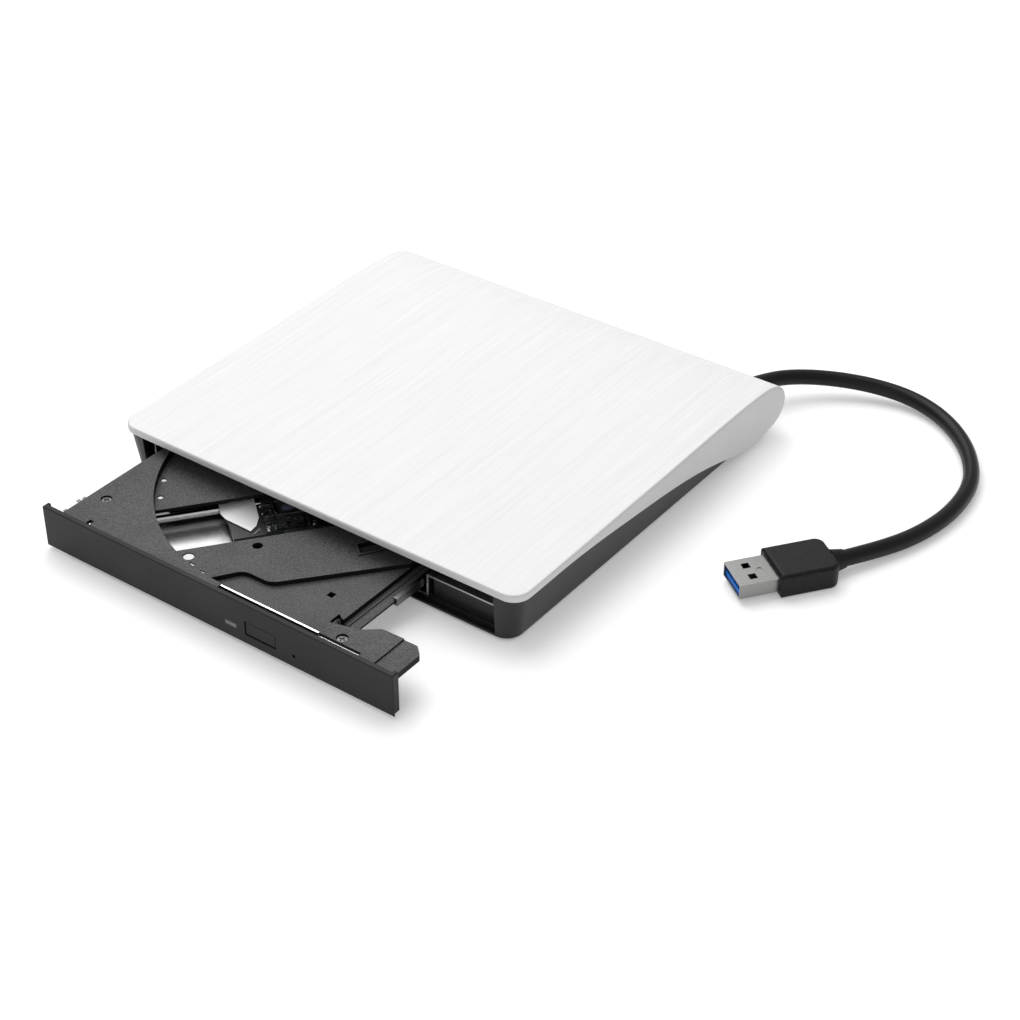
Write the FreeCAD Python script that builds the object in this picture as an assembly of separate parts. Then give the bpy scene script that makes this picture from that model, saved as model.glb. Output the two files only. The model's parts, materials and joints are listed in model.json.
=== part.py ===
import FreeCAD, Part
import math
import os

# Slim external optical drive: a slim tray drive inside a two-shell housing, on a short USB lead.
# Millimetres. Working frame: x across (DRIVE_X in the middle), y from the housing's front face to the rear,
# z up from the base's underside. to_origin() moves it all to the middle of the footprint on the table.

V = FreeCAD.Vector

# ---- drive ----
DRIVE_X = 0.7               # middle line of the drive and of the housing
DRIVE_WIDTH = 128.0
DRIVE_HEIGHT = 12.7
DRIVE_FRONT = 1.9
DRIVE_DEPTH = 126.0
SHEET = 0.5                 # steel of the drive's case
STEP_X = 41.5               # right of this the case is shallow
STEP_Z = 8.4                # underside of the shallow part
BASE_FLOOR = 1.5
DRIVE_BOTTOM = BASE_FLOOR
DRIVE_TOP = DRIVE_BOTTOM + DRIVE_HEIGHT
DRIVE_LEFT = DRIVE_X - DRIVE_WIDTH / 2
DRIVE_RIGHT = DRIVE_X + DRIVE_WIDTH / 2
DRIVE_REAR = DRIVE_FRONT + DRIVE_DEPTH
CASE_SCREWS = [(DRIVE_LEFT + 4.5, DRIVE_REAR - 4.9), (DRIVE_RIGHT - 4.5, DRIVE_REAR - 4.9),
               (DRIVE_RIGHT - 4.5, 64.0)]
CONNECTOR_X = (-4.0, 30.0)
PLUNGER_X = -40.0
PLUNGER_Z = 5.0

# ---- housing ----
COVER_WIDTH = DRIVE_WIDTH + 21.2    # top shell, side to side
COVER_FRONT = -1.5          # the lip stands this far in front of the base
COVER_REAR = DRIVE_REAR + 12.3      # rearmost line of the hump
COVER_WALL = 1.8
COVER_CORNER = 5.8          # plan radius of the front corners
COVER_EDGE = 0.8            # rolled edge round the top
SEAM_Z = DRIVE_TOP + 0.2    # lower edge of the cover at the front
SEAM_GAP = 0.15             # between the two shells
TOP_FRONT_Z = DRIVE_TOP + 2.8       # top surface at the front
TOP_REAR_Z = DRIVE_TOP + 4.4        # top of the hump
BASE_HALF_BOTTOM = DRIVE_WIDTH / 2 + 7.0    # half width of the base at its underside
BASE_HALF_TOP = DRIVE_WIDTH / 2 + 9.2       # half width at the seam, from the draft of the walls
BASE_FRONT_TOP = -1.0       # front face at the seam, from the same draft
BASE_REAR = DRIVE_REAR + 3.1
BASE_WALL = 1.8
BASE_CORNER = 5.2
LIP_FLOOR = 0.7             # floor under the closed bezel
FOOT_HEIGHT = 1.0
FOOT_RADIUS = 4.0
FOOT_X = DRIVE_WIDTH / 2 - 4
FOOT_Y = [10, 118]
POST_X = DRIVE_WIDTH / 2 + 2.8      # screw posts between drive and wall
POST_Y = [40, 98]
POST_RADIUS = 1.6
SCREW_SHANK = 0.9
SCREW_HEAD = 1.5
SCREW_HEAD_DEPTH = 0.8

# ---- tray, in the place where it stands when shut ----
TRAY_OUT = 42.6             # how far it stands open as modelled
DISC_Y = 65.2               # middle of the disc
DISC_WELL = 60.6            # radius of the disc's recess
RIM_Z = 12.0                # top of the rim
WELL_Z = 9.6                # floor under the disc
LOW_Z = 8.1                 # floor of the lower terrace
TRAY_BOTTOM = 2.5
TRAY_SIDE_GAP = 3.9         # room for a runner each side
TRAY_WALL = 1.5
TRAY_CEILING = 6.9          # underside of the floor
THIN_CEILING = 8.4          # underside of the floor beside the window, over the left rod
RIM_CEILING = 10.4          # underside of the rim
TRAY_REAR = DRIVE_REAR - 0.9
TRAY_LEFT = DRIVE_LEFT + SHEET + TRAY_SIDE_GAP
TRAY_RIGHT = STEP_X - SHEET - TRAY_SIDE_GAP - 0.5
SHOULDER = 1.6              # the right wall is this much thicker below its shoulder
SHOULDER_Z = 6.6
SHOULDER_REAR = 100.0
EAR_RIGHT = DRIVE_RIGHT - 1.2
EAR_Z = 11.6
EAR_THICK = 2.4
EAR_SCREW = (42.7, 6.2)
RIM_SCREW = (-53.7, 14.8)
TRAY_SCREW_RADIUS = 1.5
RIDGE = [(16.4, 42.7), (21.1, 39.0), (29.0, 50.9), (24.3, 54.6)]     # raised outline on the floor
SLOT_LEFT = 1.0             # slot behind the bezel for button, lamp and board
SLOT_RIGHT = 50.9
SLOT_REAR = 4.2
PLATE_TOP = TRAY_BOTTOM

# ---- bezel ----
BEZEL_WIDTH = DRIVE_WIDTH + 1.4
BEZEL_BOTTOM = 1.0
BEZEL_TOP = DRIVE_TOP - 0.4
BEZEL_FRONT = -0.6          # when shut
BEZEL_THICK = 1.6
BEZEL_RETURN = 2.4          # depth of the ends
BEZEL_END = 1.2             # thickness of the ends
SKIRT_BACK = -0.15          # the skirt hangs in front of the lip
SKIRT_BOTTOM = 0.1
TRAY_FRONT = BEZEL_FRONT + BEZEL_THICK
BUTTON_X = 19.0
BUTTON_Z = 5.6
BUTTON_WIDTH = 10.8
BUTTON_HEIGHT = 4.4
BUTTON_TRAVEL = 0.5
GAP = 0.2                   # clearance round the button and the lamp
LAMP_X = 8.2
LAMP_Z = 4.6
LAMP_SIZE = (4.0, 1.3)
PINHOLE = (31.0, 4.1, 0.55)
BOARD_FACE = SLOT_REAR - 0.6 - 0.6      # front face of the small board behind the bezel

# ---- runners ----
RUNNER_Z = 6.0              # middle height of both runners
RUNNER_DEPTH = 1.6
RUNNER_HALF = 1.9           # half height of the fixed channel
RUNNER_SHEET = 0.4
RUNNER_CLEAR = 0.3
RUNNER_START = 9.0
RUNNER_LENGTH = DRIVE_DEPTH - 9.0
SLIDE_LENGTH = DRIVE_DEPTH - 19.0

# ---- spindle and pickup ----
SLED_ANGLE = 52.0           # the pickup's path, in degrees from the x axis
SPINDLE_RADIUS = 11.0
TURNTABLE_RADIUS = 15.5
HUB_RADIUS = 7.4            # a disc's 15 mm hole goes over it
DISC_SEAT_Z = 10.6
HUB_TOP = 12.8
WINDOW_NEAR = 8.0
WINDOW_LEFT = -5.5
WINDOW_RIGHT = 15.8
ROD_Z = 5.0
ROD_RADIUS = 1.2
ROD_NEAR = 14.0
ROD_PLACES = [-7.4, 12.2]
ROD_ENDS = [67.0, 61.5]
SCREW_T = -14.4
SCREW_Z = 5.9
SLED_MOTOR_S = 63.0
LENS_S = 22.4
PAN_SHEET = 0.4
PAN_RIGHT = 15.2
SLED_BOTTOM = 3.3
BOARD_BOTTOM = 6.0          # underside of the pickup's board
SHIELD_Z = ROD_Z + ROD_RADIUS + 0.05    # underside of the pickup's shield plate, just over the rods

# ---- latch and rear board ----
LATCH_PIVOT = (33.2, 113.0)
LOCK_POST = (29.2, 122.6)
BOARD_Y = DRIVE_REAR + 5.7
BOARD_Z = 6.0
BOARD_SCREWS = (-16.0, 42.0)

# ---- lead and plug ----
LEAD_RADIUS = 2.5
BOOT_X = DRIVE_RIGHT - 3.9
BOOT_Z = 8.2
BOOT_NECK = 3.6
BOOT_SEAT = COVER_REAR - 2.8        # inner face of the wall round the boot
# Corners of the lead from the boot's middle on the hump: down to the table, round the right side
# and up into the plug's collar.
LEAD_STEPS = [(0.7, 2.4, 7.9), (3.3, 10.2, 7.3), (9.2, 18.4, 6.3), (18.0, 25.6, 5.1), (28.7, 31.0, 3.9),
              (40.4, 33.6, 2.7), (51.8, 31.4, 1.9), (62.3, 25.2, 1.56), (71.7, 15.2, 1.53), (78.7, 2.2, 1.56),
              (80.6, -14.2, 1.54), (78.2, -29.6, 1.6), (73.1, -43.4, 2.1), (66.6, -55.5, 2.9)]
LEAD_ROUTE = [V(BOOT_X + x, COVER_REAR + y, z) for x, y, z in LEAD_STEPS]
PLUG_DIRECTION = (-0.592, -0.806)
PLUG_REAR = (BOOT_X + 64.5, COVER_REAR - 58.8, 2.9)     # middle of the plug body's rear face
PLUG_BODY = (18.5, 15.4, 7.8)       # length, width, thickness
PLUG_CORNER = 3.0                   # plan radius of its rear corners
PLUG_EDGE = 1.2
PLUG_SHELL = (12.0, 12.0, 4.5)
PLUG_SHEET = 0.35
TONGUE_TOP = -0.5           # top of the plug's tongue, from the middle of its shell


def to_origin(shape):
    middle = (COVER_REAR + BEZEL_FRONT - TRAY_OUT) / 2
    moved = shape.copy()
    moved.translate(V(-DRIVE_X, -middle, FOOT_HEIGHT))
    return moved


def save(name, shape):
    to_origin(shape).exportStep("parts/%s.step" % name)


def opened(shape, share=1.0):
    moved = shape.copy()
    moved.translate(V(0, -TRAY_OUT * share, 0))
    return moved


def box(x0, x1, y0, y1, z0, z1):
    return Part.makeBox(x1 - x0, y1 - y0, z1 - z0, V(x0, y0, z0))


def post(x, y, z0, z1, radius):
    return Part.makeCylinder(radius, z1 - z0, V(x, y, z0))


def bar(start, end, radius):
    along = end - start
    return Part.makeCylinder(radius, along.Length, start, along)


def rounded_wire(points, radii):
    """Closed outline in the plane of its points, with an arc at each corner that has a radius."""
    starts, ends, middles = [], [], []
    for i, corner in enumerate(points):
        back = (points[i - 1] - corner).normalize()
        ahead = (points[(i + 1) % len(points)] - corner).normalize()
        half = back.getAngle(ahead) / 2
        reach = radii[i] / math.tan(half)
        starts.append(corner + back * reach)
        ends.append(corner + ahead * reach)
        inward = (back + ahead).normalize()
        middles.append(corner + inward * (radii[i] / math.sin(half) - radii[i]))
    edges = []
    for i in range(len(points)):
        if radii[i] > 0:
            edges.append(Part.Arc(starts[i], middles[i], ends[i]).toShape())
        nxt = (i + 1) % len(points)
        if (starts[nxt] - ends[i]).Length > 1e-6:
            edges.append(Part.LineSegment(ends[i], starts[nxt]).toShape())
    return Part.Wire(edges)


def prism(points, z0, z1, radii=None):
    corners = [V(x, y, z0) for x, y in points]
    wire = rounded_wire(corners, radii or [0] * len(points))
    return Part.Face(wire).extrude(V(0, 0, z1 - z0))


def rounded_box(x0, x1, y0, y1, z0, z1, radius):
    return prism([(x0, y0), (x1, y0), (x1, y1), (x0, y1)], z0, z1, [radius] * 4)


def cut_all(shape, tools):
    return shape.cut(Part.makeCompound(tools))


def fuse_all(shapes):
    return shapes[0].multiFuse(shapes[1:]).removeSplitter()


def side_section(edges, half):
    """A closed outline in the y-z plane, made into a solid reaching half to each side of the middle."""
    face = Part.Face(Part.Wire(edges))
    face.translate(V(DRIVE_X - half, 0, 0))
    return face.extrude(V(2 * half, 0, 0))


# ---- housing ----

def hump_points():
    """Top, hump and lower edge of the housing seen from the side, from front top to front bottom."""
    top, rear = DRIVE_TOP, COVER_REAR
    return [(COVER_FRONT, TOP_FRONT_Z), (40, top + 3.3), (80, top + 3.85), (rear - 31.2, TOP_REAR_Z),
            (rear - 16.2, top + 4.1), (rear - 7.2, top + 2.8), (rear - 1.6, top - 0.6), (rear, top - 4.8),
            (rear - 2.0, 4.8), (rear - 9.0, 2.0), (rear - 18.6, 1.4), (rear - 27.8, 2.7), (rear - 37.2, 5.2),
            (80, top - 4.4), (55, top - 1.9), (35, top - 0.3), (14, SEAM_Z)]


def spline(points):
    curve = Part.BSplineCurve()
    curve.interpolate([V(0, y, z) for y, z in points])
    return curve


def offset_points(points, distance):
    """The same outline moved inwards."""
    curve = spline(points)
    moved = []
    for y, z in points:
        along = curve.tangent(curve.parameter(V(0, y, z)))[0]
        moved.append((y + along.z * distance, z - along.y * distance))
    return moved


def segment(a, b):
    return Part.LineSegment(V(0, *a), V(0, *b)).toShape()


def cover_plan(inset):
    """The cover's plan with its rounded front corners."""
    left = DRIVE_X - COVER_WIDTH / 2 + inset
    right = DRIVE_X + COVER_WIDTH / 2 - inset
    front, rear = COVER_FRONT + inset, COVER_REAR + 1
    radius = COVER_CORNER - inset
    return prism([(left, front), (right, front), (right, rear), (left, rear)],
                 -5, TOP_REAR_Z + 5, [radius, radius, 0, 0])


def cover_outside():
    outline = hump_points()
    front = (COVER_FRONT, SEAM_Z)
    edges = [spline(outline).toShape(), segment(outline[-1], front), segment(front, outline[0])]
    solid = side_section(edges, COVER_WIDTH / 2)
    return solid.common(cover_plan(0))


def cover_inside():
    """Room under the cover: its top and hump moved in by the wall, open to the base below."""
    inner = offset_points(hump_points()[:10], COVER_WALL)
    front = COVER_FRONT + COVER_WALL
    inner[0] = (front, inner[0][1])
    rear = inner[-1]
    low = -5
    edges = [spline(inner).toShape(), segment(rear, (rear[0], low)), segment((rear[0], low), (front, low)),
             segment((front, low), inner[0])]
    return side_section(edges, COVER_WIDTH / 2 - COVER_WALL).common(cover_plan(COVER_WALL))


def screw_posts(z0, z1, radius):
    return [post(DRIVE_X + side * POST_X, y, z0, z1, radius) for side in (-1, 1) for y in POST_Y]


def top_cover():
    outside = cover_outside()
    inside = cover_inside()
    rim = [e for e in outside.Edges
           if e.BoundBox.ZMin > SEAM_Z + 1 and (e.BoundBox.YMax < COVER_CORNER + 1)]
    shell = outside.makeFillet(COVER_EDGE, rim).cut(inside)
    bosses = [p.common(inside) for p in screw_posts(BASE_FLOOR, TOP_REAR_Z, POST_RADIUS)]
    board_bosses = [post(x, BOARD_Y, 0, BOARD_Z, 1.8).common(outside) for x in BOARD_SCREWS]
    shell = shell.multiFuse(bosses + board_bosses)
    holes = screw_posts(0, 9.0, SCREW_SHANK + 0.05)
    holes += [post(x, BOARD_Y, 4.0, BOARD_Z + 1, 0.55) for x in BOARD_SCREWS]
    holes.append(bar(V(BOOT_X, BASE_REAR, BOOT_Z), V(BOOT_X, COVER_REAR + 1, BOOT_Z), BOOT_NECK + 0.05))
    holes.append(bar(V(BOOT_X, BASE_REAR, BOOT_Z), V(BOOT_X, BOOT_SEAT, BOOT_Z), BOOT_NECK + 0.6))
    return cut_all(shell, holes).removeSplitter()


def base_block(inset, z0, z1):
    """Drafted block between two heights, inset from the outside of the base."""
    wires = []
    for z in (z0, z1):
        share = z / SEAM_Z
        half = BASE_HALF_BOTTOM + share * (BASE_HALF_TOP - BASE_HALF_BOTTOM) - inset
        front = share * BASE_FRONT_TOP + inset
        rear = BASE_REAR - inset
        radius = BASE_CORNER - inset
        left, right = DRIVE_X - half, DRIVE_X + half
        corners = [V(left, front, z), V(right, front, z), V(right, rear, z), V(left, rear, z)]
        wires.append(rounded_wire(corners, [radius] * 4))
    return Part.makeLoft(wires, True, True)


def under_seam():
    """Everything below the cover's lower edge, less the seam's gap."""
    lower = [(y, z - SEAM_GAP) for y, z in hump_points()[12:]]
    rear = (BASE_REAR + 5, lower[0][1])
    front = COVER_FRONT - 5
    low = -1
    edges = [spline(lower).toShape(), segment(lower[-1], (front, SEAM_Z - SEAM_GAP)),
             segment((front, SEAM_Z - SEAM_GAP), (front, low)), segment((front, low), (rear[0], low)),
             segment((rear[0], low), rear), segment(rear, lower[0])]
    return side_section(edges, COVER_WIDTH)


def base_shell():
    shell = base_block(0, 0, SEAM_Z).cut(base_block(BASE_WALL, BASE_FLOOR, SEAM_Z + 1))
    shell = shell.common(under_seam())
    opening_left = DRIVE_LEFT - 1.7
    opening_right = DRIVE_RIGHT + 1.6
    ledge_left = STEP_X + 1.0
    ledge_right = DRIVE_RIGHT + 0.8
    ribs = [box(ledge_left, ledge_right, 3.2, 4.4, BASE_FLOOR, STEP_Z)]
    for x in (ledge_left + 4, ledge_right - 5):
        ribs.append(box(x, x + 1.2, 4.4, DRIVE_REAR - 3, BASE_FLOOR, STEP_Z))
    shell = shell.multiFuse(ribs)
    cuts = [box(opening_left, opening_right, -3, BASE_WALL + 0.4, LIP_FLOOR, SEAM_Z + 1)]
    cuts += screw_posts(-1, SCREW_HEAD_DEPTH, SCREW_HEAD + 0.15)
    cuts += screw_posts(0, BASE_FLOOR, SCREW_SHANK + 0.1)
    cuts.append(box(PLUNGER_X - 4, DRIVE_RIGHT + 1.3, BASE_REAR - BASE_WALL - 1, BASE_REAR + 1,
                    BASE_FLOOR + 1.5, SEAM_Z))
    vents = [DRIVE_X + side * (DRIVE_WIDTH / 2 + 3.0) for side in (-1, 1)]
    cuts += [box(x - 0.8, x + 0.8, 108, 124, -1, BASE_FLOOR + 1) for x in vents]
    return cut_all(shell, cuts).removeSplitter()


def cross_head(x, y, top, depth, head, shank, length, up=1):
    """A screw with a cross in its head; up is 1 for a head on top and -1 for a head below."""
    body = post(x, y, min(top, top - up * depth), max(top, top - up * depth), head)
    tip = top - up * (depth + length)
    body = body.fuse(post(x, y, min(tip, top - up * depth), max(tip, top - up * depth), shank))
    size = head * 0.62
    slot = depth * 0.5
    for wide, tall in ((size, size * 0.26), (size * 0.26, size)):
        z0, z1 = sorted((top + up * 0.1, top - up * slot))
        body = body.cut(box(x - wide, x + wide, y - tall, y + tall, z0, z1))
    return body


def housing_screws():
    places = [(DRIVE_X + side * POST_X, y) for side in (-1, 1) for y in POST_Y]
    depth = SCREW_HEAD_DEPTH - 0.15
    screws = [cross_head(x, y, 0.15, depth, SCREW_HEAD, SCREW_SHANK, 7.2, -1) for x, y in places]
    return Part.makeCompound(screws)


def rubber_feet():
    feet = []
    for x, y in [(DRIVE_X + side * FOOT_X, y) for side in (-1, 1) for y in FOOT_Y]:
        foot = post(x, y, -FOOT_HEIGHT, 0, FOOT_RADIUS)
        rim = [e for e in foot.Edges if abs(e.BoundBox.ZMax + FOOT_HEIGHT) < 1e-6]
        feet.append(foot.makeFillet(0.4, rim))
    return Part.makeCompound(feet)


# ---- drive case ----

def drive_case_bottom():
    top = DRIVE_TOP - SHEET
    walls = [box(DRIVE_LEFT, STEP_X, DRIVE_FRONT, DRIVE_REAR, DRIVE_BOTTOM, DRIVE_BOTTOM + SHEET),
             box(DRIVE_LEFT, DRIVE_LEFT + SHEET, DRIVE_FRONT, DRIVE_REAR, DRIVE_BOTTOM, top),
             box(STEP_X - SHEET, STEP_X, DRIVE_FRONT, DRIVE_REAR, DRIVE_BOTTOM, STEP_Z + SHEET),
             box(STEP_X - SHEET, DRIVE_RIGHT, DRIVE_FRONT, DRIVE_REAR, STEP_Z, STEP_Z + SHEET),
             box(DRIVE_RIGHT - SHEET, DRIVE_RIGHT, DRIVE_FRONT, DRIVE_REAR, STEP_Z, top),
             box(DRIVE_LEFT, STEP_X, DRIVE_REAR - SHEET, DRIVE_REAR, DRIVE_BOTTOM, top),
             box(STEP_X, DRIVE_RIGHT, DRIVE_REAR - SHEET, DRIVE_REAR, STEP_Z, top)]
    case = fuse_all(walls)
    openings = [box(CONNECTOR_X[0], CONNECTOR_X[1], DRIVE_REAR - 2, DRIVE_REAR + 1, 3.4, 7.4),
                bar(V(PLUNGER_X, DRIVE_REAR - 2, PLUNGER_Z), V(PLUNGER_X, DRIVE_REAR + 1, PLUNGER_Z), 1.6)]
    openings += [box(x, x + 9, 58, 61, DRIVE_BOTTOM - 1, DRIVE_BOTTOM + 1) for x in (-40, -16, 8)]
    return cut_all(case, openings)


def drive_case_lid():
    lid = box(DRIVE_LEFT, DRIVE_RIGHT, DRIVE_FRONT, DRIVE_REAR, DRIVE_TOP - SHEET, DRIVE_TOP)
    return cut_all(lid, [post(x, y, DRIVE_TOP - 1, DRIVE_TOP + 1, 0.8) for x, y in CASE_SCREWS])


def case_screws():
    return Part.makeCompound([cross_head(x, y, DRIVE_TOP + 0.4, 0.4, 1.5, 0.75, 1.2) for x, y in CASE_SCREWS])


# ---- runners: a fixed channel, a slide that goes half the way, and the tray's tongue ----

def runner_places():
    """The inner face of each side wall, and which way its runner faces."""
    return {"left": (DRIVE_LEFT + SHEET, 1), "right": (STEP_X - SHEET, -1)}


def across(wall, facing, near, far, y0, y1, z0, z1):
    x0, x1 = sorted((wall + facing * near, wall + facing * far))
    return box(x0, x1, y0, y1, z0, z1)


def fixed_runner(wall, facing):
    y0, y1 = RUNNER_START, RUNNER_START + RUNNER_LENGTH
    low, high = RUNNER_Z - RUNNER_HALF, RUNNER_Z + RUNNER_HALF
    return fuse_all([across(wall, facing, 0, RUNNER_SHEET, y0, y1, low, high),
                     across(wall, facing, 0, RUNNER_DEPTH, y0, y1, low, low + RUNNER_SHEET),
                     across(wall, facing, 0, RUNNER_DEPTH, y0, y1, high - RUNNER_SHEET, high)])


def slide_runner(wall, facing):
    y0, y1 = RUNNER_START + 2, RUNNER_START + 2 + SLIDE_LENGTH
    half = RUNNER_HALF - RUNNER_SHEET - RUNNER_CLEAR
    near = RUNNER_SHEET + RUNNER_CLEAR
    slide = across(wall, facing, near, near + 1.4, y0, y1, RUNNER_Z - half, RUNNER_Z + half)
    groove = across(wall, facing, near + 0.5, near + 2, y0 - 1, y1 + 1, RUNNER_Z - 0.6, RUNNER_Z + 0.6)
    return opened(slide.cut(groove), 0.5)


def tongue(wall, facing, inner_face):
    near = RUNNER_SHEET + RUNNER_CLEAR + 0.8
    far = abs(inner_face - wall)
    return across(wall, facing, near, far + 0.1, RUNNER_START + 2, RUNNER_START + 2 + SLIDE_LENGTH,
                  RUNNER_Z - 0.3, RUNNER_Z + 0.3)


# ---- tray ----

def sled_frame(s, t, z):
    """A place on the pickup's path: s outwards from the spindle, t to its right."""
    a = math.radians(SLED_ANGLE)
    return V(DRIVE_X - s * math.cos(a) + t * math.sin(a), DISC_Y - s * math.sin(a) - t * math.cos(a), z)


def sled_box(s0, s1, t0, t1, z0, z1):
    corners = [sled_frame(s, t, z0) for s, t in ((s0, t0), (s1, t0), (s1, t1), (s0, t1))]
    return Part.Face(Part.makePolygon(corners + corners[:1])).extrude(V(0, 0, z1 - z0))


def sled_bar(s0, s1, t, z, radius):
    return bar(sled_frame(s0, t, z), sled_frame(s1, t, z), radius)


def tray_skin():
    """The tray seen from above: rim, disc well, lower terrace, ear, window and holes."""
    low = LOW_Z
    body = box(TRAY_LEFT, TRAY_RIGHT, TRAY_FRONT, TRAY_REAR, TRAY_BOTTOM, RIM_Z)
    terrace = prism([(-10, 0.6), (-0.3, 14.9), (9.2, 14.9), (TRAY_RIGHT + 1, 48.2), (TRAY_RIGHT + 1, 0.6)],
                    low, RIM_Z + 1, [0, 4.5, 5.5, 0, 0])
    well = post(DRIVE_X, DISC_Y, low, RIM_Z + 1, DISC_WELL)
    front_rim = box(-12, SLOT_LEFT, TRAY_FRONT - 1, 8, low, RIM_Z + 1).cut(well)
    shoulder = box(TRAY_RIGHT - SHOULDER, TRAY_RIGHT + 1, 9.6, SHOULDER_REAR, SHOULDER_Z, RIM_Z + 1)
    disc_recess = post(DRIVE_X, DISC_Y, WELL_Z, RIM_Z + 1, DISC_WELL)
    body = cut_all(body, [disc_recess, terrace.cut(front_rim), shoulder])
    ear = prism([(TRAY_RIGHT - 1.5, TRAY_FRONT), (EAR_RIGHT, TRAY_FRONT), (EAR_RIGHT, 13.2),
                 (EAR_RIGHT - 2.9, 15.9), (48.9, 15.5), (44.9, 12.2),
                 (TRAY_RIGHT, 9.6), (TRAY_RIGHT - 1.5, 9.6)],
                EAR_Z - EAR_THICK, EAR_Z, [0, 0, 1.6, 1.6, 2.5, 2.5, 0, 0])
    ear_web = box(TRAY_RIGHT - TRAY_WALL, TRAY_RIGHT, TRAY_FRONT, 9.6, LOW_Z, EAR_Z)
    return fuse_all([body, ear, ear_web])


def tray_hollows():
    inner = (TRAY_LEFT + TRAY_WALL, TRAY_RIGHT - TRAY_WALL, TRAY_FRONT + 5.2, TRAY_REAR - TRAY_WALL)
    under = box(*inner, TRAY_BOTTOM - 1, TRAY_CEILING)
    under = under.cut(box(inner[1] - SHOULDER, inner[1] + 1, 0, SHOULDER_REAR, 0, RIM_Z))
    corner = box(inner[0], SLOT_LEFT - 3, TRAY_FRONT + TRAY_WALL, 60, TRAY_BOTTOM - 1, RIM_CEILING)
    corner = corner.cut(post(DRIVE_X, DISC_Y, 0, RIM_Z, DISC_WELL + TRAY_WALL))
    thin = sled_box(WINDOW_NEAR, DISC_WELL, SCREW_T - 4, WINDOW_LEFT + 1, TRAY_BOTTOM - 1, THIN_CEILING)
    return [under, corner, thin]


def tray_openings():
    window = sled_box(WINDOW_NEAR, DISC_WELL + 5, WINDOW_LEFT, WINDOW_RIGHT, 0, RIM_Z + 1)
    window = window.common(post(DRIVE_X, DISC_Y, 0, RIM_Z + 1, DISC_WELL))
    slot = box(SLOT_LEFT, SLOT_RIGHT, TRAY_FRONT - 1, SLOT_REAR, 0, RIM_Z + 1)
    step = box(56.2, EAR_RIGHT + 1, TRAY_FRONT + 0.6, 20, EAR_Z - 0.5, RIM_Z)
    holes = [window, slot, step, post(DRIVE_X, DISC_Y, 0, RIM_Z, TURNTABLE_RADIUS + 1.5)]
    for x, y, radius in ((-49.6, 34.1, 0.9), (-44.2, 27.0, 0.9), (-17.5, 10.6, 1.7), (-5.2, 25.9, 1.5)):
        holes.append(post(x, y, 0, RIM_Z, radius))
    for x, y in ((-14.2, 8.5), (-9.4, 7.5)):
        holes.append(box(x - 0.9, x + 0.9, y - 0.4, y + 0.4, 0, RIM_Z))
    holes.append(box(24.1, 26.1, 21.3, 23.3, 0, RIM_Z))
    holes.append(box(-49.9, -48.4, 2.2, 4.6, RIM_Z - 0.8, RIM_Z + 1))
    for x, y, z in (RIM_SCREW + (RIM_Z,), EAR_SCREW + (EAR_Z,)):
        holes.append(post(x, y, z - 1.0, z + 1, TRAY_SCREW_RADIUS + 0.2))
        holes.append(post(x, y, z - 4, z, 0.85))
    holes.append(box(LOCK_POST[0] - 2.5, TRAY_RIGHT - TRAY_WALL, TRAY_REAR - 3, TRAY_REAR + 1, 0, 5.6))
    notch = [(32.4, 12.8), (38, 12.8), (38, 15.8), (34.4, 15.8), (32.4, 17.0)]
    holes.append(prism(notch, LOW_Z - 2.6, RIM_Z))
    return holes


def tray():
    shape = cut_all(tray_skin(), tray_hollows() + tray_openings())
    ribs = [box(-8, 34, 100, 101.2, TRAY_BOTTOM, TRAY_CEILING),
            box(-44, -42.8, 96, TRAY_REAR - 1, TRAY_BOTTOM, TRAY_CEILING),
            box(-38, -36.8, 96, TRAY_REAR - 1, TRAY_BOTTOM, TRAY_CEILING)]
    outline = Part.Face(Part.makePolygon([V(x, y, WELL_Z) for x, y in RIDGE + RIDGE[:1]]))
    inner = outline.makeOffset2D(-0.7)
    raised = outline.cut(inner).extrude(V(0, 0, 0.45))
    recess = inner.extrude(V(0, 0, -1.2))
    tongues = [tongue(wall, facing, TRAY_LEFT if facing > 0 else TRAY_RIGHT)
               for wall, facing in runner_places().values()]
    catch = box(TRAY_LEFT - 0.9, TRAY_LEFT, 4.5, 6.5, 6.4, 10.2)
    shape = fuse_all([shape, raised, catch] + ribs + tongues)
    plunger_hole = bar(V(PLUNGER_X, 100, PLUNGER_Z), V(PLUNGER_X, TRAY_REAR + 1, PLUNGER_Z), 1.35)
    return opened(cut_all(shape, [plunger_hole, recess]))


def tray_screws():
    places = [RIM_SCREW + (RIM_Z,), EAR_SCREW + (EAR_Z,)]
    return opened(Part.makeCompound([cross_head(x, y, z - 0.45, 0.55, TRAY_SCREW_RADIUS, 0.8, 1.3)
                                     for x, y, z in places]))


def tray_bottom_plate():
    plate = rounded_box(TRAY_LEFT + 0.6, TRAY_RIGHT - 0.6, 8.0, TRAY_REAR - 0.5,
                        PLATE_TOP - 0.4, PLATE_TOP, 2.0)
    see_through = [rounded_box(-56, -40, 22, 40, 0, 9, 2.0), rounded_box(-20.5, -7.5, 0, 12.4, 0, 9, 1.0)]
    vents = [rounded_box(x, x + 3, 64, 92, 0, 9, 1.4) for x in (18, 24, 30)]
    latch_gap = box(26.5, 35, 118, TRAY_REAR, 0, 9)
    return opened(cut_all(plate, see_through + vents + [latch_gap]))


def bezel_bracket():
    rear = SLOT_REAR
    strip = box(SLOT_LEFT + 0.2, TRAY_RIGHT - 0.1, rear - 0.6, rear, TRAY_BOTTOM, RIM_Z)
    end = box(TRAY_RIGHT - 0.2, SLOT_RIGHT - 0.2, rear - 0.6, rear, EAR_Z - EAR_THICK, EAR_Z - 0.6)
    return opened(strip.fuse(end))


# ---- bezel, button and lamp ----

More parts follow.
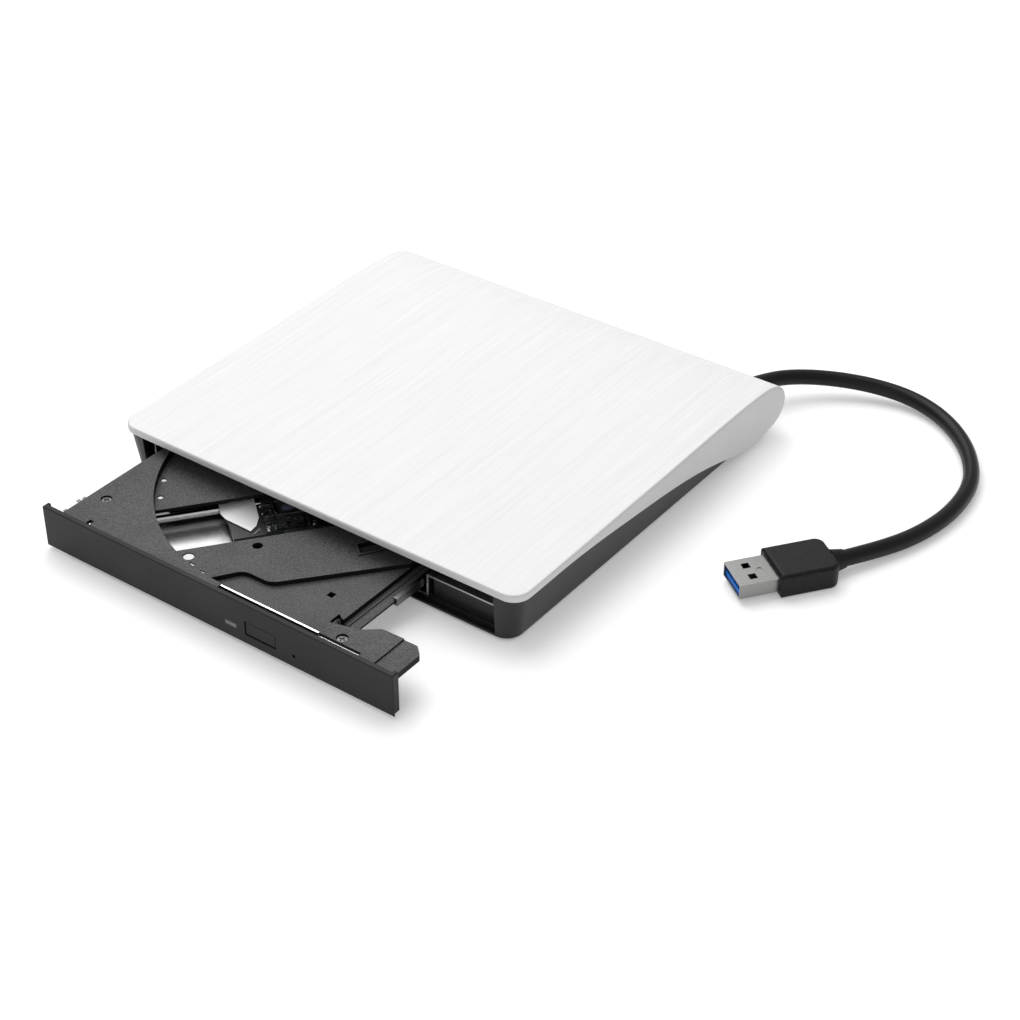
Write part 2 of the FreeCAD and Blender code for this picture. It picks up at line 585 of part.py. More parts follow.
def tray_bezel():
    left = DRIVE_X - BEZEL_WIDTH / 2
    right = DRIVE_X + BEZEL_WIDTH / 2
    back = BEZEL_FRONT + BEZEL_THICK
    rear = BEZEL_FRONT + BEZEL_RETURN
    skirt = box(left, right, BEZEL_FRONT, SKIRT_BACK, SKIRT_BOTTOM, BEZEL_TOP)
    plate = fuse_all([box(left, right, BEZEL_FRONT, rear, BEZEL_BOTTOM, BEZEL_TOP), skirt])
    front_edges = [e for e in plate.Edges if e.BoundBox.YMax < BEZEL_FRONT + 1e-6]
    corners = [e for e in plate.Edges if e.BoundBox.YLength > 1 and e.BoundBox.ZMin > BEZEL_TOP - 0.1]
    plate = plate.makeFillet(0.35, front_edges + corners)
    room = box(left + BEZEL_END, right - BEZEL_END, back, rear + 1, BEZEL_BOTTOM + 1.1, BEZEL_TOP + 1)
    plate = plate.cut(room)
    half_w, half_h = BUTTON_WIDTH / 2 + GAP, BUTTON_HEIGHT / 2 + GAP
    lamp_w, lamp_h = LAMP_SIZE[0] / 2 + 0.02, LAMP_SIZE[1] / 2 + 0.02
    x, z, radius = PINHOLE
    holes = [box(BUTTON_X - half_w, BUTTON_X + half_w, -5, back, BUTTON_Z - half_h, BUTTON_Z + half_h),
             box(LAMP_X - lamp_w, LAMP_X + lamp_w, -5, back, LAMP_Z - lamp_h, LAMP_Z + lamp_h),
             bar(V(x, -5, z), V(x, back + 1, z), radius)]
    return opened(cut_all(plate, holes))


def eject_button():
    half_w, half_h = BUTTON_WIDTH / 2, BUTTON_HEIGHT / 2
    cap = box(BUTTON_X - half_w, BUTTON_X + half_w, BEZEL_FRONT + 0.15, TRAY_FRONT + 0.1,
              BUTTON_Z - half_h, BUTTON_Z + half_h)
    front_edges = [e for e in cap.Edges if e.BoundBox.YMax < BEZEL_FRONT + 0.16]
    cap = cap.makeFillet(0.35, front_edges)
    flange = box(BUTTON_X - half_w - 0.8, BUTTON_X + half_w + 0.8, TRAY_FRONT + 0.02, TRAY_FRONT + 0.35,
                 BUTTON_Z - half_h - 0.5, BUTTON_Z + half_h + 0.8)
    return opened(fuse_all([cap, flange]))


def front_board():
    return opened(box(4.0, 34.0, BOARD_FACE, BOARD_FACE + 0.6, TRAY_BOTTOM + 0.3, 8.0))


def eject_switch():
    body = box(BUTTON_X - 1.8, BUTTON_X + 1.8, BOARD_FACE - 0.65, BOARD_FACE, BUTTON_Z - 1.6, BUTTON_Z + 1.6)
    return opened(body)


def activity_lamp():
    lamp_w, lamp_h = LAMP_SIZE[0] / 2, LAMP_SIZE[1] / 2
    lens = box(LAMP_X - lamp_w, LAMP_X + lamp_w, BEZEL_FRONT + 0.02, BOARD_FACE,
               LAMP_Z - lamp_h, LAMP_Z + lamp_h)
    return opened(lens)


# ---- spindle ----

def spindle_motor():
    can = post(DRIVE_X, DISC_Y, TRAY_BOTTOM + 0.4, 8.2, SPINDLE_RADIUS)
    rim = [e for e in can.Edges if abs(e.BoundBox.ZMin - 8.2) < 1e-6]
    can = can.makeFillet(0.6, rim)
    shaft_hole = post(DRIVE_X, DISC_Y, 5.0, 9.0, 1.55)
    return opened(can.cut(shaft_hole))


def turntable():
    disc = post(DRIVE_X, DISC_Y, 8.7, 10.0, TURNTABLE_RADIUS)
    hub = post(DRIVE_X, DISC_Y, 10.0, HUB_TOP, HUB_RADIUS)
    top = [e for e in hub.Edges if abs(e.BoundBox.ZMin - HUB_TOP) < 1e-6]
    hub = hub.makeChamfer(0.8, top)
    shaft = post(DRIVE_X, DISC_Y, 5.2, 8.7, 1.5)
    table = fuse_all([disc, hub, shaft])
    pockets = []
    for turn in range(3):
        pocket = box(DRIVE_X + HUB_RADIUS - 2.6, DRIVE_X + HUB_RADIUS + 1, DISC_Y - 1.3, DISC_Y + 1.3,
                     10.9, HUB_TOP + 0.7)
        pocket.rotate(V(DRIVE_X, DISC_Y, 0), V(0, 0, 1), 120 * turn)
        pockets.append(pocket)
    return opened(cut_all(table, pockets))


def hub_catches():
    """Three sprung catches that hold the disc on the hub."""
    catches = []
    for turn in range(3):
        catch = box(DRIVE_X + HUB_RADIUS - 2.6, DRIVE_X + HUB_RADIUS - 0.3, DISC_Y - 1.0, DISC_Y + 1.0,
                    10.9, HUB_TOP - 0.4)
        nose = Part.makeSphere(0.5, V(DRIVE_X + HUB_RADIUS - 0.55, DISC_Y, 11.7))
        piece = catch.fuse(nose)
        piece.rotate(V(DRIVE_X, DISC_Y, 0), V(0, 0, 1), 120 * turn)
        catches.append(piece)
    return opened(Part.makeCompound(catches))


def turntable_pad():
    ring = post(DRIVE_X, DISC_Y, 10.0, DISC_SEAT_Z, TURNTABLE_RADIUS - 0.5)
    return opened(ring.cut(post(DRIVE_X, DISC_Y, 9, 12, TURNTABLE_RADIUS - 4)))


# ---- pickup and its drive ----

def mechanism_chassis():
    """Flat steel pan under the window, with holders for the two rods and for the lead screw's end."""
    z0 = PLATE_TOP
    pan = sled_box(SPINDLE_RADIUS + 0.6, 71.5, SCREW_T - 3.4, PAN_RIGHT, z0, z0 + PAN_SHEET)
    limit = box(TRAY_LEFT + TRAY_WALL, TRAY_RIGHT, TRAY_FRONT + 5.4, TRAY_REAR, 0, 20)
    ring = post(DRIVE_X, DISC_Y, z0, z0 + PAN_SHEET, SPINDLE_RADIUS + 7)
    holders = []
    for t, s_far in zip(ROD_PLACES, ROD_ENDS):
        holders.append(sled_box(ROD_NEAR - 1.2, ROD_NEAR + 1.2, t - 1.9, t + 1.9, z0, ROD_Z + 1.5))
        holders.append(sled_box(s_far - 1.2, s_far + 1.2, t - 1.9, t + 1.9, z0, SHIELD_Z - 0.2))
    holders.append(sled_box(19.0, 20.6, SCREW_T - 1.7, SCREW_T + 1.7, z0, SCREW_Z + 0.9))
    chassis = fuse_all([pan.common(limit), ring] + holders)
    tools = [sled_bar(5, 90, t, ROD_Z, ROD_RADIUS) for t in ROD_PLACES]
    tools.append(sled_bar(15, 90, SCREW_T, SCREW_Z, 1.05))
    tools.append(post(DRIVE_X, DISC_Y, 0, 20, SPINDLE_RADIUS - 4))
    tools.append(post(-44.2, 27.0, 0, z0 + 1, 2.5))
    return opened(cut_all(chassis, tools).common(limit))


def guide_rod(index):
    return opened(sled_bar(ROD_NEAR - 1.2, ROD_ENDS[index] + 1.2, ROD_PLACES[index], ROD_Z, ROD_RADIUS))


def lead_screw():
    return opened(sled_bar(19.2, SLED_MOTOR_S - 0.3, SCREW_T, SCREW_Z, 1.0))


def sled_motor():
    s = SLED_MOTOR_S
    can = sled_bar(s, s + 8.0, SCREW_T, SCREW_Z, 2.9)
    cap = sled_bar(s + 8.0, s + 8.8, SCREW_T, SCREW_Z, 1.6)
    foot = sled_box(s + 1.0, s + 7.0, SCREW_T - 2.6, SCREW_T + 1.4, PLATE_TOP + PAN_SHEET, SCREW_Z)
    return opened(fuse_all([can, cap, foot]))


def sled_prism(points, z0, z1):
    corners = [sled_frame(s, t, z0) for s, t in points]
    return Part.Face(Part.makePolygon(corners + corners[:1])).extrude(V(0, 0, z1 - z0))


def pickup_sled():
    body = sled_box(14.0, 31.4, -5.0, 9.8, SLED_BOTTOM, BOARD_BOTTOM)
    nose = [(31.0, -5.0), (40.4, -5.0), (40.4, -2.1), (40.0, 9.8), (31.0, 9.8)]
    wedge = sled_prism(nose, 4.8, BOARD_BOTTOM)
    rest = sled_box(30.6, 31.4, -4.8, 4.0, BOARD_BOTTOM, SHIELD_Z)
    bushes = [sled_box(15.4, 29.4, -9.4, -5.0, SLED_BOTTOM, 6.6),
              sled_box(16.4, 25.4, 9.8, 14.0, SLED_BOTTOM, 6.5)]
    arm = sled_box(22.0, 25.0, SCREW_T + 1.3, -9.4, 5.3, 6.5)
    sled = fuse_all([body, wedge, rest, arm] + bushes)
    return opened(cut_all(sled, [sled_bar(10, 40, t, ROD_Z, ROD_RADIUS + 0.1) for t in ROD_PLACES]))


def pickup_board():
    board = sled_box(14.3, 30.4, -4.8, 9.6, BOARD_BOTTOM, BOARD_BOTTOM + 0.4)
    return opened(board.cut(sled_bar(LENS_S - 2, LENS_S + 2, 0, BOARD_BOTTOM, 0.2)))


def pickup_chips():
    chips = [(15.0, 18.0, -4.2, -0.8), (26.8, 29.8, -4.4, -0.6), (27.2, 30.2, 0.8, 4.4),
             (15.2, 17.8, 1.2, 5.2), (19.0, 24.0, 5.4, 8.8)]
    z0 = BOARD_BOTTOM + 0.4
    return opened(Part.makeCompound([sled_box(a, b, c, d, z0, z0 + 0.35) for a, b, c, d in chips]))


def pickup_shield():
    """Bent steel plate over the laser end of the sled."""
    return opened(sled_prism([(41.5, -8.1), (39.6, -7.9), (30.9, -9.5), (31.2, 1.5), (32.6, 5.4), (34.7, 7.7),
                              (40.7, -0.3), (41.7, -3.2)], SHIELD_Z, SHIELD_Z + 0.25))


def lens_holder():
    centre = sled_frame(LENS_S, 0, 0)
    holder = sled_box(LENS_S - 3.2, LENS_S + 3.2, -3.0, 3.0, 6.8, 7.6)
    return opened(holder.cut(post(centre.x, centre.y, 6, 9, 1.9)))


def objective_lens():
    centre = sled_frame(LENS_S, 0, 0)
    rim = post(centre.x, centre.y, 6.9, 7.5, 1.9)
    dome = Part.makeSphere(3.2, V(centre.x, centre.y, 4.9))
    crown = dome.common(post(centre.x, centre.y, 7.5, 9, 1.8))
    return opened(fuse_all([rim, crown]))


# ---- tray electronics, latch and ejector ----

def tray_board():
    board = box(-34, 20, 103, 118, 5.6, 6.2)
    return opened(cut_all(board, [post(x, 105, 5, 7, 1.0) for x in (-30, 16)]))


def tray_board_chips():
    chips = [box(-24, -14, 105, 115, 4.5, 5.6), box(-8, -1, 107, 114, 4.7, 5.6),
             box(6, 12, 108, 116, 4.6, 5.6)]
    return opened(Part.makeCompound(chips))


def board_spacers():
    return opened(Part.makeCompound([post(x, y, 6.2, TRAY_CEILING, 1.6)
                                     for x in (-30, 16) for y in (108, 115)]))


def lock_post():
    foot = post(*LOCK_POST, DRIVE_BOTTOM + SHEET, DRIVE_BOTTOM + SHEET + 0.3, 2.0)
    pin = post(*LOCK_POST, DRIVE_BOTTOM + SHEET, 5.2, 0.9)
    return foot.fuse(pin)


def eject_latch():
    """A hook on its own pivot that holds the lock post while the tray is shut."""
    x, y = LATCH_PIVOT
    inner = x - 0.7
    tip = LOCK_POST[0] + 0.9 + 0.3
    barb = LOCK_POST[1] + 0.9 + 0.5
    arm = prism([(x - 1.5, y - 1.6), (x + 1.3, y - 1.6), (x + 0.7, y + 3.0), (x + 0.7, barb + 1.4),
                 (tip + 0.8, barb + 1.4), (tip, barb), (inner, barb), (inner, y + 3.0)],
                3.4, 4.6, [1.0, 1.0, 2.0, 0.6, 0, 0, 0.3, 2.0])
    return opened(arm.cut(post(x, y, 3, 5, 0.75)))


def latch_pin():
    x, y = LATCH_PIVOT
    return opened(post(x, y, PLATE_TOP, TRAY_CEILING, 0.7))


def latch_solenoid():
    coil = box(21.0, 28.6, 109.5, 117.5, 3.0, 6.8)
    core = bar(V(28.6, 115.4, 4.6), V(31.6, 115.4, 4.6), 0.8)
    return opened(coil.fuse(core))


def eject_plunger():
    rod = bar(V(PLUNGER_X, 108, PLUNGER_Z), V(PLUNGER_X, TRAY_REAR + 0.1, PLUNGER_Z), 1.1)
    collar = bar(V(PLUNGER_X, 108, PLUNGER_Z), V(PLUNGER_X, 109, PLUNGER_Z), 1.8)
    return opened(rod.fuse(collar))


def eject_spring():
    length = (97.5, 107.7)
    front, rear = [V(PLUNGER_X, y, PLUNGER_Z) for y in length]
    return opened(bar(front, rear, 1.7).cut(bar(front, rear, 1.2)))


def flex_cable():
    """Flat cable, fixed half: from the rear connector forwards along the floor of the case."""
    return box(2, 18, 60, DRIVE_REAR - SHEET, DRIVE_BOTTOM + SHEET, DRIVE_BOTTOM + SHEET + 0.06)


# ---- rear: bridge board ----

def drive_connector():
    x0, x1 = CONNECTOR_X
    body = box(x0 + 0.3, x1 - 0.3, DRIVE_REAR - 0.3, DRIVE_REAR + 3.0, 3.6, BOARD_Z)
    slot = box(x0 + 2, x1 - 2, DRIVE_REAR - 1, DRIVE_REAR + 2, 4.3, 5.2)
    return body.cut(slot)


def bridge_board():
    board = box(-20, 46, DRIVE_REAR + 1.0, BOARD_Y + 3.0, BOARD_Z, BOARD_Z + 1.2)
    return cut_all(board, [post(x, BOARD_Y, BOARD_Z - 1, BOARD_Z + 2, 0.6) for x in BOARD_SCREWS])


def bridge_chips():
    z0, y = BOARD_Z + 1.2, BOARD_Y
    chips = [box(8, 14, y - 3.6, y + 2.4, z0, z0 + 1.0), box(-4, -0.5, y - 2.6, y + 0.9, z0, z0 + 0.9),
             box(20, 23.2, y - 2.6, y - 0.8, z0, z0 + 0.7), box(26, 29, y - 2.6, y + 0.4, z0, z0 + 1.4),
             box(33, 35, y - 3.0, y - 1.6, z0, z0 + 0.8)]
    return Part.makeCompound(chips)


def board_screws():
    top = BOARD_Z + 1.7
    return Part.makeCompound([cross_head(x, BOARD_Y, top, 0.5, 1.2, 0.5, 2.8) for x in BOARD_SCREWS])


def inner_wires():
    wires = []
    for i in range(4):
        x = BOOT_X - 1.2 + 0.8 * i
        turn = V(x, BOARD_Y - 0.3 * i, BOOT_Z)
        end = V(44.4, BOARD_Y - 2.4 + 1.0 * i, BOARD_Z + 1.6)
        run = [V(x, BOOT_SEAT - 1.8, BOOT_Z), turn, end]
        pieces = [bar(run[0], run[1], 0.32), Part.makeSphere(0.32, turn), bar(run[1], run[2], 0.32)]
        wires.append(fuse_all(pieces))
    return Part.makeCompound(wires)


# ---- lead and plug ----

def plug_frame(along, side, up):
    """A place on the plug: along from its rear towards its mouth, side to its left, up from its middle."""
    dx, dy = PLUG_DIRECTION
    x, y, z = PLUG_REAR
    return V(x + along * dx - side * dy, y + along * dy + side * dx, z + up)


def plug_box(a0, a1, half, up0, up1):
    corners = [plug_frame(a, s, up0) for a, s in ((a0, -half), (a1, -half), (a1, half), (a0, half))]
    return Part.Face(Part.makePolygon(corners + corners[:1])).extrude(V(0, 0, up1 - up0))


def lead_path():
    """Straight runs joined by tangent arcs, each as large as its two runs allow."""
    points = LEAD_ROUTE
    edges, at, length = [], points[0], 0
    for before, corner, after in zip(points, points[1:], points[2:]):
        back, ahead = before - corner, after - corner
        half_turn = (math.pi - back.getAngle(ahead)) / 2
        reach = 0.45 * min(back.Length, ahead.Length)
        radius = reach / math.tan(half_turn)
        start = corner + back.normalize() * reach
        end = corner + ahead.normalize() * reach
        inward = (back + ahead).normalize()
        middle = corner + inward * (radius / math.cos(half_turn) - radius)
        edges += [Part.LineSegment(at, start).toShape(), Part.Arc(start, middle, end).toShape()]
        at = end
        print("lead arc radius %.1f mm, turn %.0f degrees" % (radius, math.degrees(2 * half_turn)))
    edges.append(Part.LineSegment(at, points[-1]).toShape())
    return Part.Wire(edges)


def usb_lead():
    path = lead_path()
    start = LEAD_ROUTE[0]
    ring = Part.Wire(Part.makeCircle(LEAD_RADIUS, start, LEAD_ROUTE[1] - start))
    tube = path.makePipeShell([ring], True, False)
    solid = Part.Solid(tube) if tube.ShapeType != "Solid" else tube
    share = solid.Volume / (math.pi * LEAD_RADIUS ** 2 * path.Length)
    print("lead length %.1f mm, volume is %.4f of section times length" % (path.Length, share))
    return solid


def taper(start, start_way, start_radius, end, end_way, end_radius):
    circles = [Part.Wire(Part.makeCircle(start_radius, start, start_way)),
               Part.Wire(Part.makeCircle(end_radius, end, end_way))]
    return Part.makeLoft(circles, True)


def lead_boot():
    flange = bar(V(BOOT_X, BOOT_SEAT - 1.8, BOOT_Z), V(BOOT_X, BOOT_SEAT, BOOT_Z), BOOT_NECK + 0.4)
    neck = bar(V(BOOT_X, BOOT_SEAT, BOOT_Z), V(BOOT_X, COVER_REAR, BOOT_Z), BOOT_NECK)
    nose = taper(V(BOOT_X, COVER_REAR, BOOT_Z), V(0, 1, 0), BOOT_NECK,
                 LEAD_ROUTE[0], LEAD_ROUTE[1] - LEAD_ROUTE[0], LEAD_RADIUS + 0.4)
    return fuse_all([flange, neck, nose])


def plug_body():
    length, width, thick = PLUG_BODY
    body = plug_box(0, length, width / 2, -thick / 2, thick / 2)
    rear = plug_frame(0, 0, 0)
    upright = [e for e in body.Edges if e.BoundBox.ZLength > thick - 0.1]
    rear_corners = [e for e in upright if (e.CenterOfMass - rear).Length < length / 2]
    body = body.makeFillet(PLUG_CORNER, rear_corners)
    flat = [e for e in body.Edges if e.BoundBox.ZLength < 1e-6]
    body = body.makeFillet(PLUG_EDGE, flat)
    half, tall = PLUG_SHELL[1] / 2, PLUG_SHELL[2] / 2
    return body.cut(plug_box(length - 6, length + 1, half, -tall, tall))


def plug_collar():
    base = plug_frame(0, 0, 0)
    return taper(base, base - plug_frame(1, 0, 0), 3.6,
                 LEAD_ROUTE[-1], LEAD_ROUTE[-2] - LEAD_ROUTE[-1], LEAD_RADIUS + 0.35)


def plug_shell():
    start = PLUG_BODY[0] - 6
    end = PLUG_BODY[0] + PLUG_SHELL[0]
    half, tall = PLUG_SHELL[1] / 2, PLUG_SHELL[2] / 2
    shell = plug_box(start, end, half, -tall, tall)
    shell = shell.cut(plug_box(start + 1, end + 1, half - PLUG_SHEET, PLUG_SHEET - tall, tall - PLUG_SHEET))
    windows = []
    for side in (-2.6, 2.6):
        centre = plug_frame(end - 5.2, side, 0)
        window = Part.makeBox(2.3, 2.3, 10, V(centre.x - 1.15, centre.y - 1.15, centre.z - 5))
        turn = math.degrees(math.atan2(PLUG_DIRECTION[1], PLUG_DIRECTION[0]))
        window.rotate(V(centre.x, centre.y, 0), V(0, 0, 1), turn)
        windows.append(window)
    dimple = plug_frame(end - 8.4, 0, tall)
    windows.append(post(dimple.x, dimple.y, dimple.z - 0.2, dimple.z + 1, 0.8))
    return cut_all(shell, windows)


def plug_insulator():
    start = PLUG_BODY[0] - 5
    end = PLUG_BODY[0] + PLUG_SHELL[0] - 0.6
    half, tall = PLUG_SHELL[1] / 2 - PLUG_SHEET, PLUG_SHELL[2] / 2 - PLUG_SHEET
    return plug_box(start, end, half, -tall, TONGUE_TOP)


def plug_contacts():
    end = PLUG_BODY[0] + PLUG_SHELL[0] - 1.2
    contacts = []
    for i, side in enumerate((-3.5, -1.0, 1.0, 3.5)):
        corners = [plug_frame(a, s, TONGUE_TOP) for a, s in ((end - 6.5, side - 0.5), (end, side - 0.5),
                                                       (end, side + 0.5), (end - 6.5, side + 0.5))]
        contacts.append(Part.Face(Part.makePolygon(corners + corners[:1])).extrude(V(0, 0, 0.15)))
    return Part.makeCompound(contacts)


def main():
    os.makedirs("parts", exist_ok=True)
    for side, (wall, facing) in runner_places().items():
        save("fixed_runner_" + side, fixed_runner(wall, facing))
        save("slide_runner_" + side, slide_runner(wall, facing))
    save("guide_rod_left", guide_rod(0))
    save("guide_rod_right", guide_rod(1))
    makers = (top_cover, base_shell, housing_screws, rubber_feet, drive_case_bottom, drive_case_lid,
              case_screws, tray, tray_screws, tray_bottom_plate, bezel_bracket, tray_bezel, eject_button,
              front_board, eject_switch, activity_lamp, spindle_motor, turntable, hub_catches, turntable_pad,
              mechanism_chassis, lead_screw, sled_motor, pickup_sled, pickup_board, pickup_chips,
              pickup_shield, lens_holder, objective_lens, tray_board, tray_board_chips, board_spacers,
              lock_post, eject_latch, latch_pin, latch_solenoid, eject_plunger, eject_spring, flex_cable,
              drive_connector, bridge_board, bridge_chips, board_screws, inner_wires, lead_boot, usb_lead,
              plug_body, plug_collar, plug_shell, plug_insulator, plug_contacts)
    for maker in makers:
        save(maker.__name__, maker())


main()
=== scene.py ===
"""Looks of an external optical drive with a half-open tray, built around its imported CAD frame."""

import json
import math

import bmesh
import bpy
from mathutils import Matrix, Vector

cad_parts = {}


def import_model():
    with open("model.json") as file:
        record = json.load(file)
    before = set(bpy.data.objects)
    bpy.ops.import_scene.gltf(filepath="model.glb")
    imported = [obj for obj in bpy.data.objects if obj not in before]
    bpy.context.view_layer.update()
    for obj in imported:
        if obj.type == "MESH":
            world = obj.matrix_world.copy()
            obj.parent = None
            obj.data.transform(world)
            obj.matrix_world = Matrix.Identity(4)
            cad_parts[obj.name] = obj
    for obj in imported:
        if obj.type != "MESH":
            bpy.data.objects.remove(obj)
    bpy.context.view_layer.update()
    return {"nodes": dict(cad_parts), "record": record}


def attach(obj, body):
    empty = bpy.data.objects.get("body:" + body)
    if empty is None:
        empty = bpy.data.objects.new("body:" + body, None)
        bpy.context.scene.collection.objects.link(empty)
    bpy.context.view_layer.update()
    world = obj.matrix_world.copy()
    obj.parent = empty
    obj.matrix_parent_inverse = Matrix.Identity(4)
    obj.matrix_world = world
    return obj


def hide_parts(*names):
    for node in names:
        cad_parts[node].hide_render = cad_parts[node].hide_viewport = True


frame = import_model()
NODES = frame["nodes"]

# Lengths are in millimetres of the housing unless a name or comment says otherwise.
MM = 0.001
TRAY_OUT = 42.6  # how far the tray stands open at rest
SHIFT_X, SHIFT_Y, SHIFT_Z = -0.7, -48.5, 1.0  # from the housing's origin to the row frame's
SPINDLE_X, SPINDLE_Y = 0.7, 65.2  # the turntable's axis on the shut tray
SLED_COS = math.cos(math.radians(52))  # the pickup's path runs at this angle to the tray's width
SLED_SIN = math.sin(math.radians(52))


def at(x, y, z):
    """Housing millimetres to the row frame in metres."""
    return Vector(((x + SHIFT_X) * MM, (y + SHIFT_Y) * MM, (z + SHIFT_Z) * MM))


def on_tray(x, y, z):
    """Millimetres of the shut tray to the row frame at rest, where the tray stands open."""
    return at(x, y - TRAY_OUT, z)


# ---- materials ----

M = {}  # every material by its name


class Mat:
    """A node material that works in the surface's own coordinates, in metres."""

    def __init__(self, name, edge=0.0, **sockets):
        self.m = M[name] = bpy.data.materials.new(name)
        self.m.use_nodes = True
        self.t = self.m.node_tree
        self.b = self.t.nodes["Principled BSDF"]
        for key, value in sockets.items():
            self.b.inputs[key.replace("_", " ")].default_value = value
        self.co = self.t.nodes.new("ShaderNodeTexCoord").outputs["Object"]
        if edge:
            rounded = self.node("ShaderNodeBevel", Radius=edge)
            rounded.samples = 4
            self.link(rounded.outputs["Normal"], self.b.inputs["Normal"])

    def node(self, kind, **sockets):
        n = self.t.nodes.new(kind)
        for key, value in sockets.items():
            n.inputs[key.replace("_", " ")].default_value = value
        return n

    def link(self, a, b):
        self.t.links.new(a, b)

    def stretched(self, scale):
        m = self.t.nodes.new("ShaderNodeMapping")
        m.inputs["Scale"].default_value = scale
        self.link(self.co, m.inputs["Vector"])
        return m.outputs["Vector"]

    def noise(self, scale, detail=3.0, rough=0.5, vector=None):
        n = self.node("ShaderNodeTexNoise", Scale=scale, Detail=detail, Roughness=rough)
        self.link(vector or self.co, n.inputs["Vector"])
        return n.outputs["Fac"]

    def span(self, factor, low, high, f0=0.3, f1=0.7):
        """From low to high as the factor runs from f0 to f1."""
        r = self.node("ShaderNodeMapRange")
        for key, value in (("From Min", f0), ("From Max", f1), ("To Min", low), ("To Max", high)):
            r.inputs[key].default_value = value
        self.link(factor, r.inputs["Value"])
        return r.outputs["Result"]

    def mix(self, factor, a, b):
        """From a to b, each a colour or a socket, as the factor runs from 0 to 1."""
        x = self.t.nodes.new("ShaderNodeMix")
        x.data_type = "RGBA"
        self.link(factor, x.inputs[0])
        for value, socket in ((a, x.inputs[6]), (b, x.inputs[7])):
            if hasattr(value, "links"):
                self.link(value, socket)
            else:
                socket.default_value = (*value, 1)
        return x.outputs[2]

    def shade(self, factor, low, high, f0=0.3, f1=0.7):
        """From colour low to colour high as the factor runs from f0 to f1."""
        return self.mix(self.span(factor, 0, 1, f0, f1), low, high)

    def math(self, op, a, b):
        x = self.t.nodes.new("ShaderNodeMath")
        x.operation = op
        for value, socket in ((a, x.inputs[0]), (b, x.inputs[1])):
            if hasattr(value, "links"):
                self.link(value, socket)
            else:
                socket.default_value = value
        return x.outputs[0]

    def facing_up(self, none, full):
        """0 on walls, 1 on tops; the limits are heights of the surface's normal."""
        split = self.t.nodes.new("ShaderNodeSeparateXYZ")
        self.link(self.t.nodes.new("ShaderNodeNewGeometry").outputs["Normal"], split.inputs[0])
        return self.span(split.outputs["Z"], 0, 1, none, full)

    def bump(self, height, strength, distance):
        b = self.node("ShaderNodeBump", Strength=strength, Distance=distance)
        self.link(height, b.inputs["Height"])
        if self.b.inputs["Normal"].links:
            self.link(self.b.inputs["Normal"].links[0].from_socket, b.inputs["Normal"])
        self.link(b.outputs["Normal"], self.b.inputs["Normal"])

    def colour(self, socket):
        self.link(socket, self.b.inputs["Base Color"])

    def rough(self, socket):
        self.link(socket, self.b.inputs["Roughness"])


def grey(level):
    return (level, level, level)


def grained(name, low, high, grain=2600, roughness=(0.42, 0.6), bump=0.25, fine=4050, edge=0.00025,
            shine=0.4, walls=None):
    """Textured moulding: fine speckle in colour and height, cloudy gloss, and, if a wall grey is given, walls
    painted that flat dark grey as painted shade.
    """
    wall_shine = 0.12
    m = Mat(name, edge, Specular_IOR_Level=shine)
    skin = m.shade(m.noise(grain, 2.0, 0.6), low, high)
    # Painted shade: faces that do not face up take the given dark grey and less shine, in place of the shade
    # that falls on walls.
    if walls is not None:
        top = m.facing_up(0.6, 0.9)
        skin = m.mix(top, grey(walls), skin)
        m.link(m.span(top, wall_shine, shine, 0, 1), m.b.inputs["Specular IOR Level"])
    m.colour(skin)
    m.rough(m.span(m.noise(60, 2.0, 0.5), *roughness))
    m.bump(m.noise(fine, 2.0, 0.6), bump, 0.00006)


def sheet_metal(name, low, high, roughness=(0.22, 0.36), along=(1, 30, 30), scale=120, metallic=1.0):
    """Rolled sheet: faint grain along one way, a few cloudy patches."""
    m = Mat(name, 0.00012, Metallic=metallic)
    grain = m.noise(scale, 3.0, 0.6, m.stretched(along))
    m.colour(m.shade(grain, low, high))
    m.rough(m.span(m.noise(45, 2.0, 0.5), *roughness))
    m.bump(grain, 0.05, 0.00003)


def glossy(name, low, high, roughness, **sockets):
    """Smooth plastic or film with soft cloudy patches."""
    m = Mat(name, **sockets)
    cloud = m.noise(80, 2.0)
    m.colour(m.shade(cloud, low, high))
    m.rough(m.span(cloud, *roughness))


def cover_material():
    """White top with fine hairlines running front to back; its side faces are plain, and greyer as painted
    shade.
    """
    m = Mat("cover_white", 0.0003, Specular_IOR_Level=0.3)
    hair = m.noise(2600, 3.0, 0.7, m.stretched((1.0, 0.012, 0.3)))
    streak = m.noise(700, 3.0, 0.6, m.stretched((1.0, 0.02, 0.3)))
    both = m.math("ADD", m.math("MULTIPLY", hair, 0.6), m.math("MULTIPLY", streak, 0.4))
    brushed = m.shade(both, grey(0.80), grey(0.895), 0.36, 0.64)
    # Side faces: plain, without hairlines, and painted a darker grey as painted shade.
    plain = m.shade(m.noise(70, 2.0), grey(0.60), grey(0.63))
    top = m.facing_up(0.80, 0.95)
    m.colour(m.mix(top, plain, brushed))
    m.rough(m.span(both, 0.38, 0.52, 0.36, 0.64))
    m.bump(m.math("MULTIPLY", both, top), 0.3, 0.00010)


def board_material():
    """Dark green solder mask over a pattern of traces."""
    m = Mat("circuit_board")
    traces = m.node("ShaderNodeTexBrick", Scale=900.0, Mortar_Size=0.03)
    m.link(m.co, traces.inputs["Vector"])
    m.colour(m.shade(m.noise(1400, 2.0), (0.004, 0.009, 0.007), (0.008, 0.016, 0.012), 0.4, 0.6))
    m.rough(m.span(m.noise(200, 2.0), 0.25, 0.4))
    m.bump(traces.outputs["Fac"], 0.2, 0.00004)


def glass_material():
    m = Mat("lens_glass", Transmission_Weight=0.9, IOR=1.5)
    m.colour(m.shade(m.noise(900, 1.0), (0.62, 0.72, 0.95), (0.70, 0.78, 0.98)))
    m.rough(m.span(m.noise(500, 1.0), 0.02, 0.06))


cover_material()
board_material()
glass_material()

